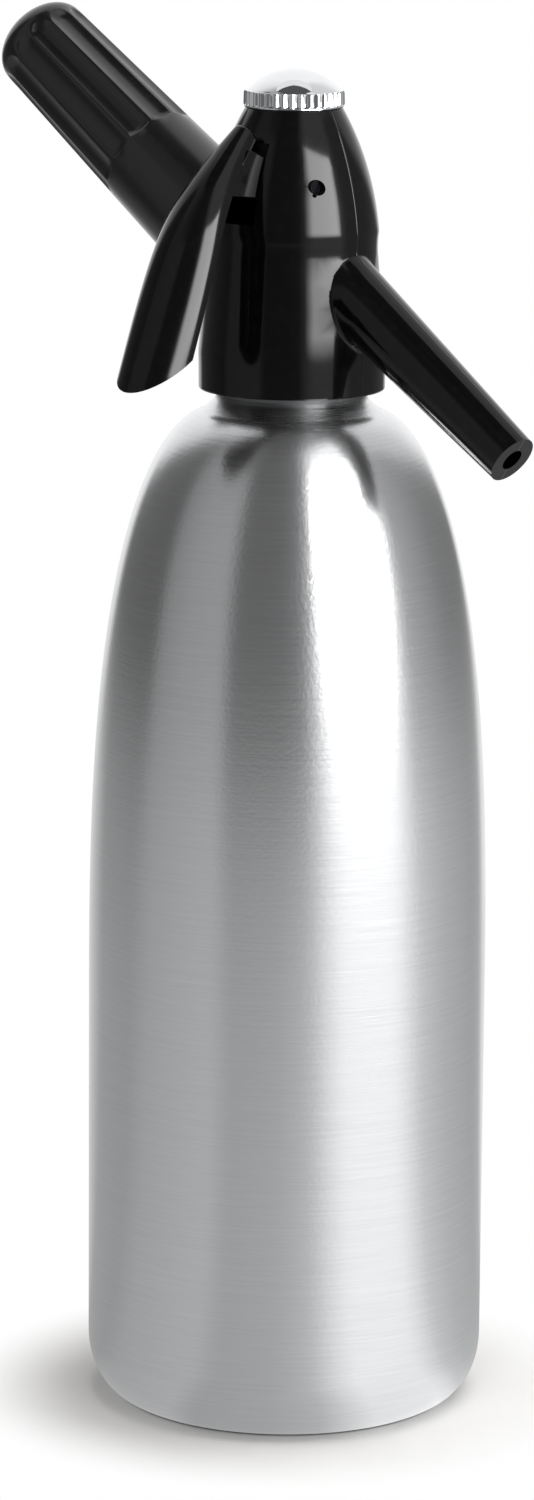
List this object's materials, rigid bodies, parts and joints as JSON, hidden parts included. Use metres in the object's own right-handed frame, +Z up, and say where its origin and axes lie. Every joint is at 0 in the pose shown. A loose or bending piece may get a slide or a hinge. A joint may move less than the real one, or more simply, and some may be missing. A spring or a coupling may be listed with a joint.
{
  "type": "soda siphon",
  "caption": "Metal siphon bottle for fizzy water, with a pouring lever, a spout, a pressure valve and a screwed gas charger holder.",
  "frame": {"origin": "centre of the base, in the plane the bottle stands on", "axes": "+Z up the bottle's axis, +X towards the spout, -X towards the charger holder, -Y towards the lever"},
  "size_m": [0.1608, 0.1038, 0.3307],
  "materials": {
    "bottle_aluminium": "satin, brushed around the axis",
    "black_plastic": "gloss",
    "core_black": "black coated zinc casting",
    "cap_chrome": "polished",
    "valve_brass": "turned",
    "inner_steel": "bright",
    "charger_steel": "zinc plated",
    "seal_rubber": "matt",
    "white_plastic": "matt"
  },
  "bodies": {
    "bottle": {"bottle": "bottle_aluminium"},
    "riser": {"tube_collar": "white_plastic", "dip_tube": "white_plastic", "head_gasket": "seal_rubber"},
    "head": {"valve_body": "core_black", "head_shell": "black_plastic", "stem_guide": "white_plastic", "stem_seal": "seal_rubber", "tube_seal": "seal_rubber", "lever_pin": "inner_steel", "outlet_tube": "white_plastic", "inlet_nozzle": "valve_brass", "nozzle_seal": "seal_rubber", "piercing_pin": "inner_steel", "charger_seal": "seal_rubber", "check_retainer": "valve_brass"},
    "lever": {"lever": "black_plastic"},
    "stem": {"valve_stem": "inner_steel", "valve_washer": "seal_rubber", "spring_seat": "inner_steel", "stem_nut": "valve_brass", "valve_spring": "inner_steel"},
    "cap_ring": {"cap_gasket": "seal_rubber"},
    "cap": {"top_cap": "cap_chrome"},
    "charger": {"gas_charger": "charger_steel"},
    "holder": {"charger_holder": "black_plastic", "holder_thread_ring": "valve_brass"},
    "check": {"check_plunger": "white_plastic"}
  },
  "joints": [
    {"name": "head_lift", "type": "slide", "parent": "bottle", "child": "riser", "axis": [0, 0, 1], "range_m": [0, 0.012]},
    {"name": "head_spin", "type": "hinge", "parent": "riser", "child": "head", "pos_m": [0, 0, 0.2648], "axis": [0, 0, 1], "range_deg": [0, 1728]},
    {"name": "lever_press", "type": "hinge", "parent": "head", "child": "lever", "pos_m": [0, -0.0093, 0.2938], "axis": [1, 0, 0], "range_deg": [0, 14], "stiffness_Nm_per_rad": 0.16, "springref_deg": -25.78},
    {"name": "stem_lift", "type": "slide", "parent": "head", "child": "stem", "axis": [0, 0, 1], "range_m": [0, 0.0022], "deforming": ["valve_spring"]},
    {"name": "cap_lift", "type": "slide", "parent": "head", "child": "cap_ring", "axis": [0, 0, 1], "range_m": [0, 0.009]},
    {"name": "cap_spin", "type": "hinge", "parent": "cap_ring", "child": "cap", "pos_m": [0, 0, 0.3109], "axis": [0, 0, 1], "range_deg": [0, 2160]},
    {"name": "charger_feed", "type": "slide", "parent": "head", "child": "charger", "axis": [-0.8261, 0, 0.5635], "range_m": [0, 0.012]},
    {"name": "holder_spin", "type": "hinge", "parent": "charger", "child": "holder", "pos_m": [-0.02668, 0, 0.2831], "axis": [-0.8261, 0, 0.5635], "range_deg": [0, 2160]},
    {"name": "check_float", "type": "slide", "parent": "head", "child": "check", "axis": [-0.8261, 0, 0.5635], "range_m": [0, 0.0008]}
  ],
  "couplings": [
    {"joint": "head_spin", "follows": "head_lift", "rad_per_m": 2513.3},
    {"joint": "stem_lift", "follows": "lever_press", "m_per_rad": 0.009},
    {"joint": "cap_spin", "follows": "cap_lift", "rad_per_m": 4188.8},
    {"joint": "holder_spin", "follows": "charger_feed", "rad_per_m": 3141.6}
  ]
}
